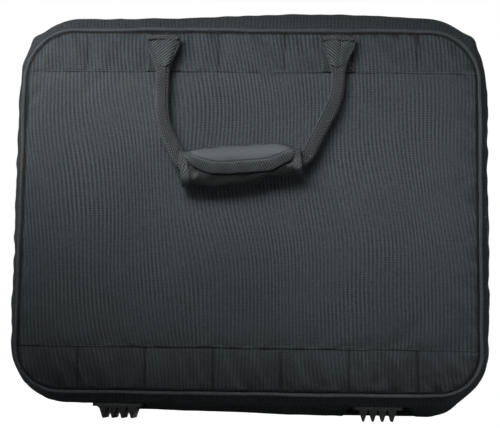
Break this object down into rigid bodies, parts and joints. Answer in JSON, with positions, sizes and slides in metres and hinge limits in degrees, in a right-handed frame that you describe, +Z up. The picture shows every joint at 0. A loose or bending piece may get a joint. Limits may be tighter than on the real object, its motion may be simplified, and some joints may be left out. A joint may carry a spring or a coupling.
{
  "type": "portfolio case",
  "caption": "Soft-sided portfolio case: padded halves hinged on a footed bottom gusset, closed by a two-way zip, with rolled-webbing handles and a wrap-round grip.",
  "frame": {"origin": "on the ground under the middle of the base, at the height of the feet's tooth crests", "axes": "+Z up, +X to the right seen from the front, front (the side with the grip wrap) towards -Y"},
  "size_m": [0.562, 0.1716, 0.466],
  "materials": {
    "nylon": "ribbed charcoal nylon weave",
    "trim": "smooth black edge binding",
    "webbing": "black polypropylene webbing",
    "lining": "thin woven lining",
    "tape": "woven zip and hook-and-loop tape",
    "foam": "closed-cell foam sheet",
    "board": "grey-brown stiffener board",
    "cord": "extruded piping cord",
    "foot_plastic": "moulded black plastic",
    "steel": "plated steel",
    "zip_coil": "moulded nylon coil",
    "zip_metal": "black enamelled zinc"
  },
  "bodies": {
    "base": {"base_gusset": "nylon", "base_board": "board", "base_lining": "lining", "foot_left": "foot_plastic", "foot_right": "foot_plastic", "foot_screws": "steel", "foot_washers": "steel"},
    "front_half": {"front_panel": "nylon", "front_foam": "foam", "front_board": "board", "front_lining": "lining", "front_piping": "trim", "front_piping_cord": "cord", "front_gusset": "nylon", "front_seam_binding": "trim", "front_zip_tape": "tape", "front_zip_coil": "zip_coil", "front_zip_stops": "zip_metal", "front_patches": "webbing", "loop_band_top": "trim", "loop_band_bottom": "trim"},
    "back_half": {"back_panel": "nylon", "back_foam": "foam", "back_board": "board", "back_lining": "lining", "back_piping": "trim", "back_piping_cord": "cord", "back_gusset": "nylon", "back_seam_binding": "trim", "back_zip_tape": "tape", "back_zip_coil": "zip_coil", "back_zip_stops": "zip_metal", "back_patches": "webbing"},
    "front_handle": {"front_handle": "webbing", "front_handle_core": "cord", "grip_sleeve": "nylon", "grip_sleeve_binding": "trim", "grip_hook_tape": "tape"},
    "grip_flap": {"grip_flap": "nylon", "grip_flap_binding": "trim", "grip_loop_tape": "tape"},
    "back_handle": {"back_handle": "webbing", "back_handle_core": "cord"},
    "slider_left": {"slider_left": "zip_metal"},
    "slider_right": {"slider_right": "zip_metal"},
    "pull_left": {"pull_left": "zip_metal"},
    "pull_right": {"pull_right": "zip_metal"}
  },
  "joints": [
    {"name": "front_open", "type": "hinge", "parent": "base", "child": "front_half", "pos_m": [0, -0.046, 0.03], "axis": [1, 0, 0], "range_deg": [0, 90]},
    {"name": "back_open", "type": "hinge", "parent": "base", "child": "back_half", "pos_m": [0, 0.046, 0.03], "axis": [-1, 0, 0], "range_deg": [0, 90]},
    {"name": "front_handle_swing", "type": "hinge", "parent": "front_half", "child": "front_handle", "pos_m": [0, -0.061, 0.436], "axis": [-1, 0, 0], "range_deg": [0, 180]},
    {"name": "back_handle_swing", "type": "hinge", "parent": "back_half", "child": "back_handle", "pos_m": [0, 0.061, 0.436], "axis": [1, 0, 0], "range_deg": [0, 180]},
    {"name": "grip_flap_open", "type": "hinge", "parent": "front_handle", "child": "grip_flap", "pos_m": [-0.01058, -0.05762, 0.30828], "axis": [-0.9971, -0.0035, -0.0766], "range_deg": [0, 100]},
    {"name": "slider_left_slide", "type": "slide", "parent": "back_half", "child": "slider_left", "axis": [-1, 0, 0], "range_m": [0, 0.18]},
    {"name": "slider_right_slide", "type": "slide", "parent": "back_half", "child": "slider_right", "axis": [1, 0, 0], "range_m": [0, 0.18]},
    {"name": "pull_left_swing", "type": "hinge", "parent": "slider_left", "child": "pull_left", "pos_m": [-0.009, 0.02235, 0.46298], "axis": [0, 0.9373, -0.3485], "range_deg": [0, 90]},
    {"name": "pull_right_swing", "type": "hinge", "parent": "slider_right", "child": "pull_right", "pos_m": [0.009, 0.02235, 0.46298], "axis": [0, -0.9373, 0.3485], "range_deg": [0, 90]}
  ]
}
